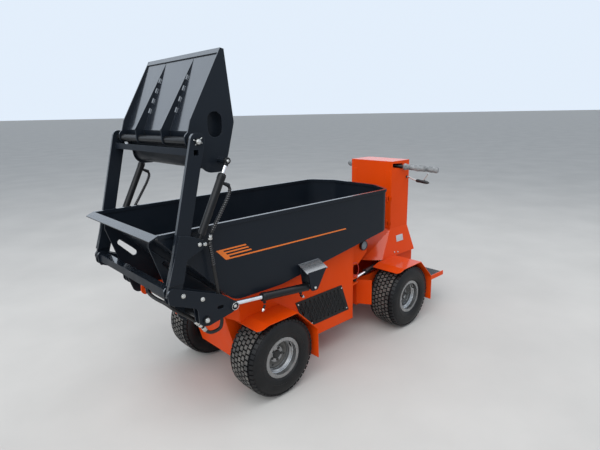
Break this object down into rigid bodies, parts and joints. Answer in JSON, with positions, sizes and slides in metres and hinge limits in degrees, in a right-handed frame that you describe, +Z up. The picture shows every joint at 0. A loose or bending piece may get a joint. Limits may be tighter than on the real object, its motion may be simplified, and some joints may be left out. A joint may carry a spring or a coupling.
{
  "type": "articulated skip-loading site dumper with a self-loading shovel",
  "caption": "Articulated walk-behind or ride-on site dumper with a forward-tipping tub, a self-loading shovel on arms over the tub's spout, and a stand-on footboard at the rear.",
  "frame": {"origin": "middle of the machine's bounding box, on the ground", "axes": "+X forward, towards the spout; +Y to the machine's left; +Z up"},
  "size_m": [2.478, 0.9, 1.8106],
  "materials": {
    "body_orange": "gloss enamel",
    "tub_anthracite": "satin enamel",
    "black_paint": "satin",
    "chromed_rod": "polished",
    "black_plastic": "matt",
    "grip_wrap": "matt",
    "hose_rubber": "matt",
    "tyre_rubber": "moulded",
    "rim_silver": "silver enamel"
  },
  "bodies": {
    "front_module": {"front_chassis": "body_orange", "front_shaft": "chromed_rod", "front_axle": "black_paint", "front_fenders": "body_orange", "side_panels": "body_orange", "side_grilles": "black_paint", "engine_block": "black_paint", "rear_tank": "body_orange", "filler_cap": "black_plastic"},
    "rear_module": {"rear_chassis": "body_orange", "rear_axle": "black_paint", "rear_fenders": "body_orange", "rear_hood": "body_orange", "control_tower": "body_orange", "handlebar": "black_paint", "handle_grips": "grip_wrap", "control_lever": "black_paint", "footboard_frame": "body_orange", "footboard": "black_paint"},
    "tub": {"tub_shell": "tub_anthracite", "tub_rim": "tub_anthracite"},
    "loader": {"loader_arms": "tub_anthracite", "foot_plates": "tub_anthracite", "lower_cross_tube": "tub_anthracite", "shovel_shaft": "chromed_rod", "loader_hoses": "hose_rubber"},
    "shovel": {"shovel_shell": "tub_anthracite", "shovel_sides": "tub_anthracite"},
    "lift_barrel": {"lift_barrels": "black_paint"},
    "lift_rod": {"lift_rods": "chromed_rod"},
    "tilt_barrel": {"tilt_barrels": "black_paint", "tilt_hoses": "hose_rubber"},
    "tilt_rod": {"tilt_rods": "chromed_rod"},
    "tip_barrel": {"tip_barrel": "black_paint"},
    "tip_rod": {"tip_rod": "chromed_rod"},
    "steer_barrel": {"steer_barrel": "black_paint"},
    "steer_rod": {"steer_rod": "chromed_rod"},
    "wheel_front_left": {"tyre_front_left": "tyre_rubber", "rim_front_left": "rim_silver"},
    "wheel_front_right": {"tyre_front_right": "tyre_rubber", "rim_front_right": "rim_silver"},
    "wheel_rear_left": {"tyre_rear_left": "tyre_rubber", "rim_rear_left": "rim_silver"},
    "wheel_rear_right": {"tyre_rear_right": "tyre_rubber", "rim_rear_right": "rim_silver"}
  },
  "joints": [
    {"name": "steer", "type": "hinge", "parent": "front_module", "child": "rear_module", "pos_m": [-0.261, 0, 0.337], "axis": [0, 0, 1], "range_deg": [-30, 30]},
    {"name": "tub_tip", "type": "hinge", "parent": "front_module", "child": "tub", "pos_m": [1.025, 0, 0.606], "axis": [0, -1, 0], "range_deg": [-75, 0]},
    {"name": "loader_lift", "type": "hinge", "parent": "tub", "child": "loader", "pos_m": [1.025, 0, 0.606], "axis": [0, 1, 0], "range_deg": [0, 129]},
    {"name": "shovel_tilt", "type": "hinge", "parent": "loader", "child": "shovel", "pos_m": [1.001, 0, 1.413], "axis": [0, -1, 0], "range_deg": [-75, 10]},
    {"name": "wheel_front_left_spin", "type": "hinge", "parent": "front_module", "child": "wheel_front_left", "pos_m": [0.571, 0.332, 0.2285], "axis": [0, 1, 0], "continuous": true},
    {"name": "wheel_front_right_spin", "type": "hinge", "parent": "front_module", "child": "wheel_front_right", "pos_m": [0.571, -0.332, 0.2285], "axis": [0, 1, 0], "continuous": true},
    {"name": "wheel_rear_left_spin", "type": "hinge", "parent": "rear_module", "child": "wheel_rear_left", "pos_m": [-0.635, 0.332, 0.2285], "axis": [0, 1, 0], "continuous": true},
    {"name": "wheel_rear_right_spin", "type": "hinge", "parent": "rear_module", "child": "wheel_rear_right", "pos_m": [-0.635, -0.332, 0.2285], "axis": [0, 1, 0], "continuous": true},
    {"name": "lift_swing", "type": "hinge", "parent": "tub", "child": "lift_barrel", "pos_m": [0.333, 0, 0.573], "axis": [0, 1, 0], "range_deg": [-6.72, 0.01]},
    {"name": "lift_stroke", "type": "slide", "parent": "lift_barrel", "child": "lift_rod", "axis": [0.9946, 0, 0.1039], "range_m": [-0.0001, 0.2812]},
    {"name": "tilt_swing", "type": "hinge", "parent": "loader", "child": "tilt_barrel", "pos_m": [1.032, 0, 0.968], "axis": [0, -1, 0], "range_deg": [-11.07, 1.49]},
    {"name": "tilt_stroke", "type": "slide", "parent": "tilt_barrel", "child": "tilt_rod", "axis": [-0.4513, 0, 0.8924], "range_m": [-0.0255, 0.1906]},
    {"name": "tip_swing", "type": "hinge", "parent": "front_module", "child": "tip_barrel", "pos_m": [0.421, 0, 0.3], "axis": [0, -1, 0], "range_deg": [-0.01, 7.68]},
    {"name": "tip_stroke", "type": "slide", "parent": "tip_barrel", "child": "tip_rod", "axis": [0.7625, 0, 0.647], "range_m": [-0.0001, 0.3263]},
    {"name": "steer_swing", "type": "hinge", "parent": "rear_module", "child": "steer_barrel", "pos_m": [-0.721, 0.14, 0.424], "axis": [0, 0, 1], "range_deg": [-3.31, 3.31]},
    {"name": "steer_stroke", "type": "slide", "parent": "steer_barrel", "child": "steer_rod", "axis": [0.9759, 0.2182, 0], "range_m": [-0.1208, 0.1208]}
  ],
  "couplings": [
    {"joint": "lift_swing", "follows": "loader_lift", "ratio": -0.052},
    {"joint": "lift_stroke", "follows": "loader_lift", "m_per_rad": 0.12486},
    {"joint": "tilt_swing", "follows": "shovel_tilt", "ratio": 0.14752},
    {"joint": "tilt_stroke", "follows": "shovel_tilt", "m_per_rad": -0.1455},
    {"joint": "tip_swing", "follows": "tub_tip", "ratio": -0.10233},
    {"joint": "tip_stroke", "follows": "tub_tip", "m_per_rad": -0.2492},
    {"joint": "steer_swing", "follows": "steer", "ratio": -0.11},
    {"joint": "steer_stroke", "follows": "steer", "m_per_rad": 0.23049}
  ]
}
